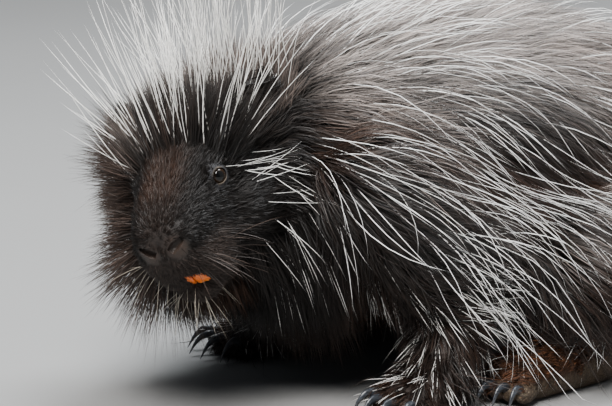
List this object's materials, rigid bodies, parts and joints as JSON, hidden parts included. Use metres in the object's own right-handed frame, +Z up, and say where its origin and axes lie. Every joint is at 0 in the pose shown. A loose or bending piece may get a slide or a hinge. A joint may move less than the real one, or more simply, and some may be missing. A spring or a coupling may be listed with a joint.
{
  "type": "north american porcupine",
  "caption": "Life-size North American porcupine crouched on all fours, head turned to its left, with long pale guard hairs and quills over a dark coat.",
  "frame": {"origin": "middle of the bounding box on the floor, between the feet", "axes": "+X from head to tail, -Y towards the animal's left side, +Z up"},
  "size_m": [0.6594, 0.329, 0.3028],
  "materials": {
    "coat": "long coarse fur, black-brown with cream-white guard hairs and quills",
    "face": "short dark brown-black fur, rusty brown on the nose",
    "ear": "short dark fur",
    "eye": "wet, glossy, nearly black",
    "tooth": "orange enamel",
    "claw": "slate black horn",
    "sole": "pebbled bare skin with short brown fur above"
  },
  "bodies": {
    "root": {"head": "face", "ear_left": "ear", "ear_right": "ear", "eye_left": "eye", "eye_right": "eye", "incisor_upper_left": "tooth", "incisor_upper_right": "tooth", "incisor_lower_left": "tooth", "incisor_lower_right": "tooth", "neck": "coat", "torso": "coat", "tail": "coat", "foreleg_left": "coat", "foreleg_right": "coat", "hindleg_left": "coat", "hindleg_right": "coat", "forepaw_left": "sole", "forepaw_right": "sole", "hindfoot_left": "sole", "hindfoot_right": "sole", "foreclaw_left_1": "claw", "foreclaw_left_2": "claw", "foreclaw_left_3": "claw", "foreclaw_left_4": "claw", "foreclaw_right_1": "claw", "foreclaw_right_2": "claw", "foreclaw_right_3": "claw", "foreclaw_right_4": "claw", "hindclaw_left_1": "claw", "hindclaw_left_2": "claw", "hindclaw_left_3": "claw", "hindclaw_left_4": "claw", "hindclaw_left_5": "claw", "hindclaw_right_1": "claw", "hindclaw_right_2": "claw", "hindclaw_right_3": "claw", "hindclaw_right_4": "claw", "hindclaw_right_5": "claw"}
  },
  "joints": []
}
